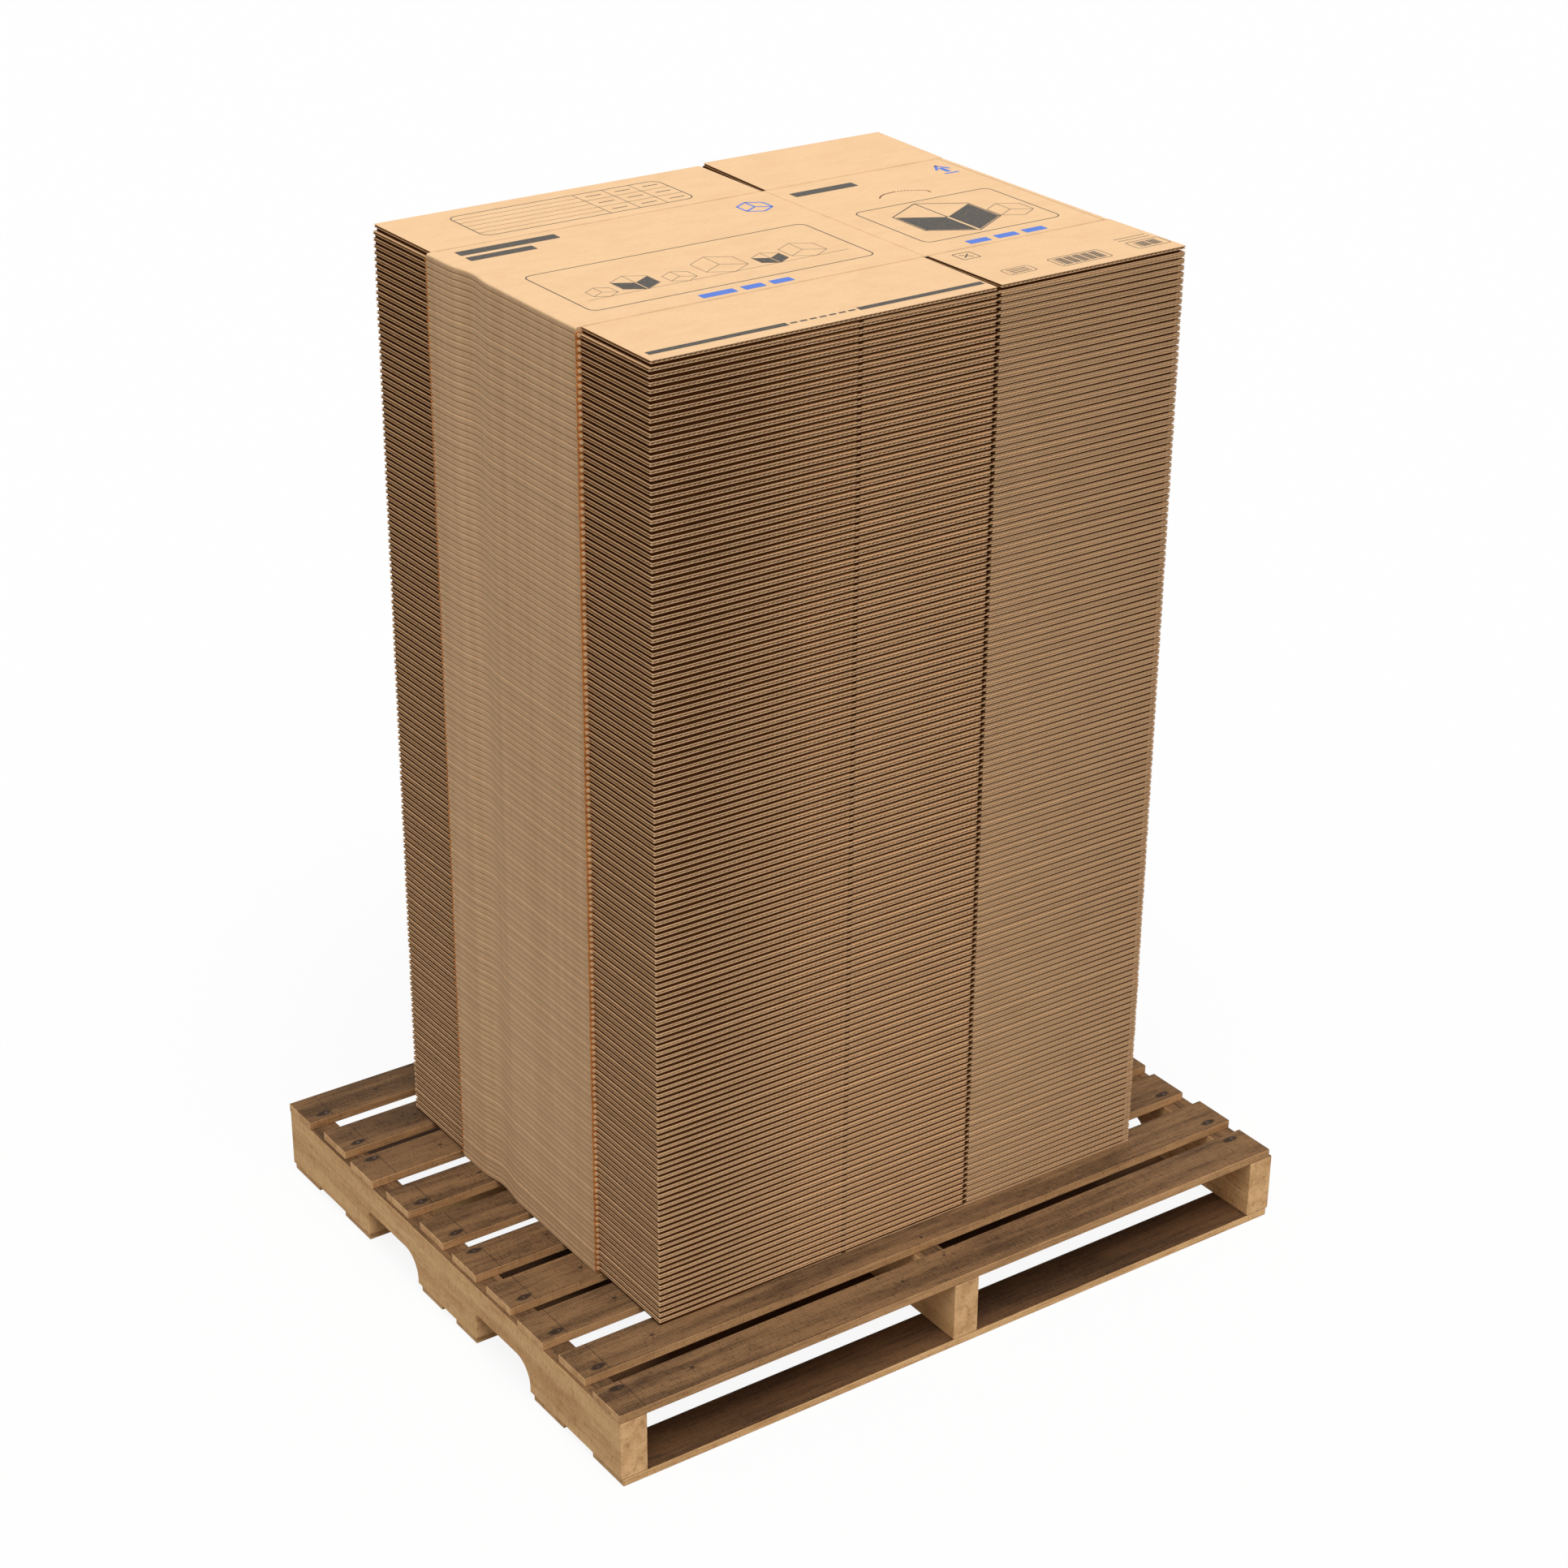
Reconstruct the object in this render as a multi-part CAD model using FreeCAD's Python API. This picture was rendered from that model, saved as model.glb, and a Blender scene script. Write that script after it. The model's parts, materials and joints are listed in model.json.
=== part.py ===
import FreeCAD, Part

import math
import os

from FreeCAD import Vector

# A pallet load of flat, knocked-down shipping boxes. All sizes are millimetres.
# X runs along the deck boards, Y along the stringers and +Z is up.
# The origin is on the floor, under the middle of the pallet.

# Pallet: deck boards on three stringers, with bottom boards nailed under them
stringer_length = 996.0
stringer_width = 44.3
stringer_height = 97.3
stringer_overhang = 2.4
deck_board_length = 1219.2
deck_board_width = 71.6
deck_board_thickness = 14.2
bottom_board_thickness = 12.7
bottom_board_inset = 3.5
outer_bottom_board_width = 82.4
inner_bottom_board_width = 62.0

# How far each deck board was nailed out of line along X and along Y, from the near board back
deck_board_slips = [
    (-3.5, 0.0),
    (2.0, -1.7),
    (-3.5, 1.9),
    (2.0, -1.8),
    (2.0, -2.9),
    (3.5, -4.8),
    (2.0, -3.9),
    (-3.5, -0.8),
    (2.0, -4.4),
    (-3.5, 0.0),
]

# Fork notches in the underside of each stringer, large round at the near end of each
notch_length = 157.0
notch_height = 46.2
notch_spacing = 333.5
notch_shift = -4.1
notch_near_radius = 38.0
notch_far_radius = 10.0
notch_to_bottom_board = 5.0

# One flat box: a tube of two long and two short panels, with a flap at each end of each panel
board_thickness = 4.2
fold_gap = 1.37
long_panel = 558.8
short_panel = 330.2
panel_height = 391.0
flap_depth = 165.0
slot_width = 8.3
left_fold_overhang = 6.5
right_fold_overhang = 2.0

# Where the left fold is pressed in: distance back from its near end, and depth of the dent
fold_dents = [
    (0.0, 3.0),
    (14.0, 0.6),
    (40.0, 0.0),
    (225.0, 1.9),
    (280.0, 6.4),
    (342.0, 0.6),
    (391.0, 1.0),
]

# The top box, whose short flaps spring up a little
near_flap_lift = 1.8
far_flap_lift = 3.4
top_flap_inset = 2.4
score_width = 5.0
score_depth = 0.6

# The stack and its place on the deck
box_count = 150
boxes_per_bundle = 10
stack_middle_x = -7.1
stack_middle_y = 8.8

# Room that a cutter runs past a face, and how far out of level an edge may be and still count as level
cut_margin = 1.0
level_tolerance = 0.01

# Worked out from the sizes above
pallet_width = deck_board_length + 2 * stringer_overhang
stringer_bottom = bottom_board_thickness
deck_underside = stringer_bottom + stringer_height
deck_top = deck_underside + deck_board_thickness
box_pitch = 2 * board_thickness + fold_gap
flaps_left = stack_middle_x - (long_panel + short_panel) / 2
flaps_right = stack_middle_x + (long_panel + short_panel) / 2
near_score = stack_middle_y - panel_height / 2
far_score = stack_middle_y + panel_height / 2
near_edge = near_score - flap_depth
far_edge = far_score + flap_depth
upper_slot_x = flaps_left + long_panel
lower_slot_x = flaps_left + short_panel
fold_round = 0.48 * box_pitch


def block(x0, x1, y0, y1, z0, z1):
    """A board or cutter between two corners."""
    return Part.makeBox(x1 - x0, y1 - y0, z1 - z0, Vector(x0, y0, z0))


def prism_along_x(profile, x0, x1):
    """A closed (y, z) outline pulled from x0 to x1."""
    points = [Vector(x0, y, z) for y, z in profile]
    face = Part.Face(Part.makePolygon(points + points[:1]))
    return face.extrude(Vector(x1 - x0, 0, 0))


def prism_along_y(profile, y0, y1):
    """A closed (x, z) outline pulled from y0 to y1."""
    points = [Vector(x, y0, z) for x, z in profile]
    face = Part.Face(Part.makePolygon(points + points[:1]))
    return face.extrude(Vector(0, y1 - y0, 0))


# Pallet

def deck_boards():
    """The deck boards, evenly spaced apart from the slip that each was nailed with."""
    count = len(deck_board_slips)
    spacing = (stringer_length - deck_board_width) / (count - 1)
    boards = []
    for index, (slip_x, slip_y) in enumerate(deck_board_slips):
        x0 = slip_x - deck_board_length / 2
        y0 = slip_y - stringer_length / 2 + index * spacing
        boards.append(block(x0, x0 + deck_board_length, y0, y0 + deck_board_width,
                            deck_underside, deck_top))
    return boards


def notch_starts():
    """The near end of each fork notch."""
    middle = notch_shift - notch_length / 2
    return [middle - notch_spacing / 2, middle + notch_spacing / 2]


def bottom_boards():
    """One board at each end of the pallet and one on each side of each notch."""
    end = stringer_length / 2
    first, second = notch_starts()
    clear = notch_to_bottom_board
    outer = outer_bottom_board_width
    inner = inner_bottom_board_width
    spans = [
        (-end, -end + outer),
        (first - clear - outer, first - clear),
        (first + notch_length + clear, first + notch_length + clear + inner),
        (second - clear - inner, second - clear),
        (second + notch_length + clear, second + notch_length + clear + outer),
        (end - outer, end),
    ]
    half = pallet_width / 2 - bottom_board_inset
    return [block(-half, half, y0, y1, 0, bottom_board_thickness) for y0, y1 in spans]


def corner_arc(x, centre_y, centre_z, radius, side):
    """A quarter round over one upper corner of a notch. side is -1 at its near end, 1 at its far end."""
    low = Vector(x, centre_y + side * radius, centre_z)
    bend = radius * math.sqrt(0.5)
    middle = Vector(x, centre_y + side * bend, centre_z + bend)
    high = Vector(x, centre_y, centre_z + radius)
    if side < 0:
        return Part.Arc(low, middle, high).toShape()
    return Part.Arc(high, middle, low).toShape()


def notch_cutter(start, x0, x1):
    """The space of one fork notch, with its two upper corners rounded."""
    end = start + notch_length
    floor = stringer_bottom - cut_margin
    roof = stringer_bottom + notch_height
    near = corner_arc(x0, start + notch_near_radius, roof - notch_near_radius, notch_near_radius, -1)
    far = corner_arc(x0, end - notch_far_radius, roof - notch_far_radius, notch_far_radius, 1)
    corners = [
        Vector(x0, start, floor),
        Vector(x0, start, roof - notch_near_radius),
        Vector(x0, start + notch_near_radius, roof),
        Vector(x0, end - notch_far_radius, roof),
        Vector(x0, end, roof - notch_far_radius),
        Vector(x0, end, floor),
    ]
    outline = Part.Wire([
        Part.makeLine(corners[0], corners[1]),
        near,
        Part.makeLine(corners[2], corners[3]),
        far,
        Part.makeLine(corners[4], corners[5]),
        Part.makeLine(corners[5], corners[0]),
    ])
    return Part.Face(outline).extrude(Vector(x1 - x0, 0, 0))


def stringer(middle_x):
    """One stringer on edge, with its two fork notches."""
    x0 = middle_x - stringer_width / 2
    x1 = middle_x + stringer_width / 2
    beam = block(x0, x1, -stringer_length / 2, stringer_length / 2,
                 stringer_bottom, deck_underside)
    for start in notch_starts():
        beam = beam.cut(notch_cutter(start, x0 - cut_margin, x1 + cut_margin))
    return beam


# Flat boxes

def panel_outline():
    """The plan of the panels between the flaps, with its dented left fold."""
    left = flaps_left - left_fold_overhang
    right = flaps_right + right_fold_overhang
    stretch = panel_height / fold_dents[-1][0]
    fold = [Vector(left + depth, near_score + back * stretch, 0) for back, depth in fold_dents]
    outline = fold + [Vector(right, far_score, 0), Vector(right, near_score, 0)]
    return Part.makePolygon(outline + outline[:1])


def panels(height):
    """The folded panels of one or more boxes, as a block from z = 0."""
    return Part.Face(panel_outline()).extrude(Vector(0, 0, height))


def flap(x0, x1, edge_y, score_y, edge_z, score_z):
    """One flap. edge_z and score_z are its lower and upper faces at its two ends."""
    profile = [(edge_y, edge_z[0]), (edge_y, edge_z[1]), (score_y, score_z[1]), (score_y, score_z[0])]
    return prism_along_x(profile, x0, x1)


def sheet_spans(slot_x, inset=0.0):
    """The x spans of the two flaps of one sheet, on each side of its slot."""
    return [
        (flaps_left + inset, slot_x - slot_width / 2),
        (slot_x + slot_width / 2, flaps_right),
    ]


def box_run(count):
    """A bundle of flat boxes from z = 0. The gap in each box closes towards its score lines."""
    solids = []
    for index in range(count):
        base = index * box_pitch
        middle = base + box_pitch / 2
        top = base + box_pitch
        lower = (base, base + board_thickness)
        upper = (top - board_thickness, top)
        for edge_y, score_y in ((near_edge, near_score), (far_edge, far_score)):
            solids.append(flap(flaps_left, flaps_right, edge_y, score_y, lower, (base, middle)))
            for x0, x1 in sheet_spans(upper_slot_x):
                solids.append(flap(x0, x1, edge_y, score_y, upper, (middle, top)))
    return panels(count * box_pitch).multiFuse(solids).removeSplitter()


def rounded_panels():
    """The panels of one box, with their two folds rounded over."""
    body = panels(box_pitch)
    folds = []
    for edge in body.Edges:
        box = edge.BoundBox
        level = box.ZLength < level_tolerance
        across = box.XLength > box.YLength
        if level and not across:
            folds.append(edge)
    return body.makeFillet(fold_round, folds)


def score_groove(y, x0, x1, z):
    """The crushed line where a flap folds, as a shallow groove along X."""
    half = score_width / 2
    profile = [(y - half, z), (y, z - score_depth), (y + half, z)]
    return prism_along_x(profile, x0, x1)


def panel_groove(x, z):
    """The crushed line between the long and the short panel, as a shallow groove along Y."""
    half = score_width / 2
    profile = [(x - half, z), (x, z - score_depth), (x + half, z)]
    return prism_along_y(profile, near_score, far_score)


def top_box():
    """The uppermost box, with an open gap between its sheets and its short flaps lifted."""
    top = box_pitch
    lower = (0, board_thickness)
    upper = (top - board_thickness, top)
    solids = []
    ends = ((near_edge, near_score, near_flap_lift), (far_edge, far_score, far_flap_lift))
    for edge_y, score_y, lift in ends:
        for x0, x1 in sheet_spans(lower_slot_x):
            solids.append(flap(x0, x1, edge_y, score_y, lower, lower))
        long_flap, short_flap = sheet_spans(upper_slot_x, top_flap_inset)
        lifted = (upper[0] + lift, upper[1] + lift)
        solids.append(flap(*long_flap, edge_y, score_y, upper, upper))
        solids.append(flap(*short_flap, edge_y, score_y, lifted, upper))
    body = rounded_panels().multiFuse(solids)
    gap = block(flaps_left + board_thickness, flaps_right - board_thickness,
                near_score - cut_margin, far_score + cut_margin,
                board_thickness, board_thickness + fold_gap)
    body = body.cut(gap)
    left_end = flaps_left + top_flap_inset
    for y in (near_score, far_score):
        body = body.cut(score_groove(y, left_end, flaps_right, top))
    body = body.cut(panel_groove(upper_slot_x, top))
    return body.removeSplitter()


def at_level(shape, index):
    """A copy of a shape, raised to sit on the box with this number, counted from the deck."""
    copy = shape.copy()
    copy.translate(Vector(0, 0, deck_top + index * box_pitch))
    return copy


def pallet_nodes():
    """Every piece of the pallet by name."""
    outer = (pallet_width - stringer_width) / 2
    nodes = {
        "stringer_left": stringer(-outer),
        "stringer_middle": stringer(0),
        "stringer_right": stringer(outer),
    }
    for index, board in enumerate(deck_boards(), 1):
        nodes[f"deck_board_{index:02d}"] = board
    for index, board in enumerate(bottom_boards(), 1):
        nodes[f"bottom_board_{index:02d}"] = board
    return nodes


def stack_nodes():
    """The bundles from the deck up, and the single box on top."""
    nodes = {}
    runs = {}
    placed = 0
    while placed < box_count - 1:
        count = min(boxes_per_bundle, box_count - 1 - placed)
        if count not in runs:
            runs[count] = box_run(count)
        nodes[f"bundle_{len(nodes) + 1:02d}"] = at_level(runs[count], placed)
        placed += count
    nodes["top_box"] = at_level(top_box(), placed)
    return nodes


def main():
    """Write each piece to its own file."""
    os.makedirs("parts", exist_ok=True)
    nodes = {**pallet_nodes(), **stack_nodes()}
    for name, shape in nodes.items():
        print(name, "valid", shape.isValid(), "litres", round(shape.Volume / 1e6, 3))
        shape.Solids[0].exportStep(f"parts/{name}.step")


main()
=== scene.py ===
"""Dressed model of a pallet load of flat shipping boxes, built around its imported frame."""

import json
import logging
import math
import random
from dataclasses import dataclass, field
from enum import Enum, IntEnum

import bmesh
import bpy
from mathutils import Matrix, Vector

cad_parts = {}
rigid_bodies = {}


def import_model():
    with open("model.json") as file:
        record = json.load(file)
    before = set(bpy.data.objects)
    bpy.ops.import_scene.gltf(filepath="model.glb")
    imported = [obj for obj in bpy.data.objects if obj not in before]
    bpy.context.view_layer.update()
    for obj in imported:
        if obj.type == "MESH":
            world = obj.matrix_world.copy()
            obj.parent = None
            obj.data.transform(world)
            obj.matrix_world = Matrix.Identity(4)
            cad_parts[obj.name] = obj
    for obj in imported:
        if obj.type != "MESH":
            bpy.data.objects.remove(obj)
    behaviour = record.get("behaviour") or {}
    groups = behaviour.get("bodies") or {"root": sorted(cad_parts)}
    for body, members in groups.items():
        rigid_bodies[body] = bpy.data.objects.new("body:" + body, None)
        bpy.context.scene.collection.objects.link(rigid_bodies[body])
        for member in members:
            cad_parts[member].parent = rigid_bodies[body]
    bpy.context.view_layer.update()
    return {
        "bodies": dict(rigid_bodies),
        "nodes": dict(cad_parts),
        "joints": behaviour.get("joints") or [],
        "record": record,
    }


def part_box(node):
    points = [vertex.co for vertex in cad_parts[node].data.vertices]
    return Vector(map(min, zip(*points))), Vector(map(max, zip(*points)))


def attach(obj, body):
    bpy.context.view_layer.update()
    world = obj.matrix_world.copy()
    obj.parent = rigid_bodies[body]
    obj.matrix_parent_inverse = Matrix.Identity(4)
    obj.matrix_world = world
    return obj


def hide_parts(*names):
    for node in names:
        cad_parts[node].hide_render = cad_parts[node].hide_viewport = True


LOG = logging.getLogger("load")
MM = 0.001
BODY = "root"
# The materials that every box shares; the third is the painted shade seen in the flute holes
SHARED = ("liner_edge", "flute_paper", "core_flute_shade", "fold_face", "fold_end", "fold_disc")
# Half of a deck board, its outer nails from its middle and from its edge, in metres
BOARD_HALF = 0.6096
NAIL_LINE = 0.577
NAIL_ASIDE = 0.014
# The distance in millimetres below which two places count as one
TOUCH = 0.01


class Slot(Enum):
    """The record's material slots."""

    BOARD = "kraft_board"
    EDGES = "kraft_edges"
    WOOD = "pallet_wood"


class End(Enum):
    """The two ends of a box where its flaps are. The value points out of the stack along Y."""

    NEAR = -1
    FAR = 1


class Sheet(Enum):
    """The two sheets of a flat box."""

    LOWER = 0
    UPPER = 1


class Skin(IntEnum):
    """Indices of the materials of a box in the bundles."""

    LINER = 0
    FLUTE = 1
    # Painted shade: the dark core seen through the flute holes and the boxes' hidden inside
    SHADED_INSIDE = 2
    FOLD = 3
    FOLD_END = 4
    FOLD_DISC = 5
    # A lighter painted shade in the flute holes of the right-hand flaps
    PALE_SHADED_INSIDE = 6
    SHADE = 7
    # The medium at the flaps' sides, darkened as painted shade of the recess between the liners
    SHADED_MEDIUM = 8
    PALE_LINER = 9


class TopSkin(IntEnum):
    """Indices of the top box's materials that differ from those of the bundles."""

    KRAFT = 6
    SCORE = 7
    SHADE = 9


class Ink(IntEnum):
    """Indices of the print's materials."""

    DARK = 0
    BLUE = 1
    CUT = 2


class Cut(IntEnum):
    """Indices of the materials of a pallet board's faces."""

    SIDE = 0
    TOP = 1
    END = 2


def srgb(red: int, green: int, blue: int) -> tuple[float, float, float, float]:
    """Turn a colour as it is seen on a screen into the linear one that shaders take.

    Args:
        red: Red from 0 to 255.
        green: Green from 0 to 255.
        blue: Blue from 0 to 255.

    Returns:
        The linear colour with full alpha.
    """
    parts = []
    for value in (red, green, blue):
        share = value / 255
        parts.append(share / 12.92 if share <= 0.04045 else ((share + 0.055) / 1.055) ** 2.4)
    return (parts[0], parts[1], parts[2], 1.0)


def smooth_between(points: list[tuple[float, float]], at: float) -> float:
    """Read a smooth line through a few points.

    Args:
        points: Places and values, in order of place.
        at: The place to read.

    Returns:
        The value there, eased between its two neighbours.
    """
    if at <= points[0][0]:
        return points[0][1]
    for (start, low), (end, high) in zip(points, points[1:]):
        if at <= end:
            share = (at - start) / (end - start)
            eased = (1 - math.cos(math.pi * share)) / 2
            return low + (high - low) * eased
    return points[-1][1]


# Mesh work


def faces_of(verts: list) -> set:
    """Return every face that touches one of these vertices."""
    return {face for vert in verts for face in vert.link_faces}


def paint(verts: list, slot: int) -> None:
    """Give every face that touches one of these vertices a material."""
    for face in faces_of(verts):
        face.material_index = slot


def verts_in(geometry: list) -> list:
    """Return the vertices among what an operator made."""
    return [item for item in geometry if isinstance(item, bmesh.types.BMVert)]


def linked(name: str, data: bpy.types.ID) -> bpy.types.Object:
    """Return a new object of this data, linked to the scene."""
    item = bpy.data.objects.new(name, data)
    bpy.context.scene.collection.objects.link(item)
    return item


class Shape:
    """A mesh in millimetres while it is being built."""

    def __init__(self) -> None:
        """Start with an empty mesh."""
        self.bm = bmesh.new()

    def slab(self, low: tuple, high: tuple, slot: int = 0) -> list:
        """Add a plain slab between two corners.

        Args:
            low: Its lowest corner.
            high: Its highest corner.
            slot: Index of its material.

        Returns:
            The slab's vertices.
        """
        start, end = Vector(low), Vector(high)
        matrix = Matrix.Translation((start + end) / 2) @ Matrix.Diagonal((*(end - start), 1.0))
        made = bmesh.ops.create_cube(self.bm, size=1.0, matrix=matrix)["verts"]
        paint(made, slot)
        return made

    def rod(self, matrix: Matrix, radius: float, depth: float, foot: float | None = None) -> list:
        """Add a short round rod.

        Args:
            matrix: The place of its middle and the turn of its axis.
            radius: Its radius.
            depth: Its length.
            foot: The radius of its lower end, where that differs.

        Returns:
            The rod's vertices.
        """
        return bmesh.ops.create_cone(self.bm, cap_ends=True, segments=12, radius1=foot or radius,
                                     radius2=radius, depth=depth, matrix=matrix)["verts"]

    def sweep(self, outline: list, stations: list, slot: int, cap: int) -> list:
        """Pull a closed outline through a row of stations.

        Args:
            outline: The outline's points at the first station.
            stations: The offset of each station from the first, which is a zero vector.
            slot: Index of the material of its sides.
            cap: Index of the material of its two ends.

        Returns:
            The new vertices.
        """
        made = [self.bm.verts.new(point) for point in outline]
        first = face = self.bm.faces.new(made)
        sides = set()
        for index in range(1, len(stations)):
            grown = bmesh.ops.extrude_face_region(self.bm, geom=[face])["geom"]
            verts = verts_in(grown)
            made.extend(verts)
            bmesh.ops.translate(self.bm, verts=verts, vec=stations[index] - stations[index - 1])
            fresh = next(item for item in grown if isinstance(item, bmesh.types.BMFace))
            if index > 1:
                bmesh.ops.delete(self.bm, geom=[face], context="FACES_ONLY")
            face = fresh
            sides |= faces_of(verts)
        for side in sides:
            if side.is_valid:
                side.material_index = slot
        for end in (first, face):
            end.material_index = cap
        return made

    def flat_face(self, low: tuple, high: tuple, z: float, radius: float = 0.0) -> bmesh.types.BMFace:
        """Add a level rectangle, with its corners rounded if it has a radius.

        Args:
            low: Its lowest x and y.
            high: Its highest x and y.
            z: Its height.
            radius: The round of its corners.

        Returns:
            The face.
        """
        start, end = Vector((*low, z)), Vector((*high, z))
        size = end - start
        matrix = Matrix.Translation((start + end) / 2) @ Matrix.Diagonal((size.x, size.y, 1.0, 1.0))
        made = bmesh.ops.create_grid(self.bm, x_segments=1, y_segments=1, size=0.5, matrix=matrix)["verts"]
        if radius > 0:
            made = bmesh.ops.bevel(self.bm, geom=made, offset=radius, offset_type="OFFSET", affect="VERTICES",
                                   segments=5, profile=0.5, material=-1)["verts"]
        return made[0].link_faces[0]

    def raise_faces(self, faces: list, height: float, slot: int) -> list:
        """Give flat faces a thickness upwards.

        Args:
            faces: The faces, lying level.
            height: The thickness.
            slot: Index of their material.

        Returns:
            The vertices of the thickened faces.
        """
        verts = verts_in(bmesh.ops.extrude_face_region(self.bm, geom=faces)["geom"])
        bmesh.ops.translate(self.bm, verts=verts, vec=(0, 0, height))
        touched = faces_of(verts) | {face for face in faces if face.is_valid}
        made = list({vert for face in touched for vert in face.verts})
        for face in touched:
            face.material_index = slot
        return made

    def cut(self, verts: list, point: tuple, normal: tuple) -> list:
        """Cut what these vertices make along a plane.

        Args:
            verts: The vertices of what is cut.
            point: A point of the plane.
            normal: The way that the plane faces.

        Returns:
            The vertices, with the new ones.
        """
        faces = faces_of(verts)
        edges = {line for face in faces for line in face.edges}
        made = bmesh.ops.bisect_plane(self.bm, geom=[*verts, *edges, *faces], plane_co=point, plane_no=normal)
        return [*verts, *verts_in(made["geom_cut"])]

    def soften(self, edges: list, width: float, segments: int = 1) -> None:
        """Break these edges with a small bevel."""
        bmesh.ops.bevel(self.bm, geom=edges, offset=width, offset_type="OFFSET", affect="EDGES",
                        segments=segments, profile=0.5, material=-1)

    def to_mesh(self, name: str, recalc: bool = True) -> bpy.types.Mesh:
        """Turn the shape into a mesh and free it.

        Args:
            name: The mesh's name.
            recalc: Whether its faces are turned outwards first.

        Returns:
            The mesh, still in millimetres.
        """
        if recalc:
            bmesh.ops.recalc_face_normals(self.bm, faces=self.bm.faces[:])
        mesh = bpy.data.meshes.new(name)
        self.bm.to_mesh(mesh)
        self.bm.free()
        return mesh

    def dress(self, name: str, finishes: list, slot: Slot, nodes: list, recalc: bool = True) -> None:
        """Turn the shape into a piece that rides on the load.

        Args:
            name: The piece's name.
            finishes: The materials, in the order of their indices.
            slot: The record's slot for the piece's finish; not used.
            nodes: The CAD nodes that it stands for.
            recalc: Whether its faces are turned outwards again.
        """
        mesh = self.to_mesh(name, recalc)
        mesh.transform(Matrix.Scale(MM, 4))
        for finish in finishes:
            mesh.materials.append(finish)
        piece = linked(name, mesh)
        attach(piece, BODY)
        if nodes:
            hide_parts(*nodes)
        LOG.info("%s: %d faces", name, len(mesh.polygons))


# Shader work


class Tree:
    """A node tree with short calls for its nodes and links."""

    def __init__(self, tree: bpy.types.NodeTree) -> None:
        """Keep the tree that the calls work on."""
        self.tree = tree

    def add(self, kind: str, settings: dict | None = None, **sockets: object) -> bpy.types.Node:
        """Add a node.

        Args:
            kind: The node's type name after ShaderNode.
            settings: Its own settings by name.
            **sockets: A value or an output for each input, by name with _ for a space.

        Returns:
            The node.
        """
        node = self.tree.nodes.new("ShaderNode" + kind)
        for key, value in (settings or {}).items():
            setattr(node, key, value)
        for key, value in sockets.items():
            name = key.replace("_", " ")
            socket = node.inputs[int(key[1:])] if key[0] == "i" and key[1:].isdigit() else node.inputs[name]
            self.feed(socket, value)
        return node

    def feed(self, socket: bpy.types.NodeSocket, value: object) -> None:
        """Link an output to a socket, or set the socket's own value."""
        if isinstance(value, bpy.types.NodeSocket):
            self.tree.links.new(value, socket)
        else:
            socket.default_value = value

    def math(self, operation: str, first: object, second: object = 0.0, clamp: bool = False) -> object:
        """Add a Math node and return its output."""
        node = self.add("Math", {"operation": operation, "use_clamp": clamp}, i0=first, i1=second)
        return node.outputs[0]

    def plus(self, first: object, second: object, clamp: bool = False) -> object:
        """Return the sum of two values."""
        return self.math("ADD", first, second, clamp)

    def minus(self, first: object, second: object, clamp: bool = False) -> object:
        """Return the difference of two values."""
        return self.math("SUBTRACT", first, second, clamp)

    def times(self, first: object, second: object) -> object:
        """Return the product of two values."""
        return self.math("MULTIPLY", first, second)

    def mix(self, share: object, first: object, second: object) -> object:
        """Add a colour Mix node and return its output."""
        node = self.tree.nodes.new("ShaderNodeMix")
        node.data_type = "RGBA"
        node.clamp_factor = True
        self.feed(node.inputs[0], share)
        self.feed(node.inputs[6], first)
        self.feed(node.inputs[7], second)
        return node.outputs[2]

    def span(self, value: object, low: float, high: float, out_low: float = 0.0,
             out_high: float = 1.0) -> object:
        """Add a Map Range node with smooth steps and return its output."""
        node = self.add("MapRange", {"interpolation_type": "SMOOTHSTEP", "clamp": True}, i0=value, i1=low,
                        i2=high, i3=out_low, i4=out_high)
        return node.outputs[0]

    def reach(self, first: object, second: object) -> object:
        """Return the length of the way made up of two square steps."""
        return self.math("SQRT", self.plus(self.times(first, first), self.times(second, second)))

    def noise(self, place: object, scale: float, detail: float = 3.0, rough: float = 0.55,
              stretch: tuple = (1, 1, 1)) -> object:
        """Add a Noise node on a stretched place and return its value."""
        mapping = self.add("Mapping", Vector=place, Scale=stretch)
        node = self.add("TexNoise", Vector=mapping.outputs[0], Scale=scale, Detail=detail, Roughness=rough)
        return node.outputs[0]


def effect_group(name: str, inputs: dict, outputs: dict) -> tuple[bpy.types.NodeTree, Tree, object, object]:
    """Start a shader node group.

    Args:
        name: The group's name.
        inputs: The kind of each input socket by name.
        outputs: The kind of each output socket by name.

    Returns:
        The group, its short calls, its input node and its output node.
    """
    group = bpy.data.node_groups.new(name, "ShaderNodeTree")
    for way, sockets in (("INPUT", inputs), ("OUTPUT", outputs)):
        for key, kind in sockets.items():
            group.interface.new_socket(name=key, in_out=way, socket_type="NodeSocket" + kind)
    return group, Tree(group), group.nodes.new("NodeGroupInput"), group.nodes.new("NodeGroupOutput")


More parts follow.
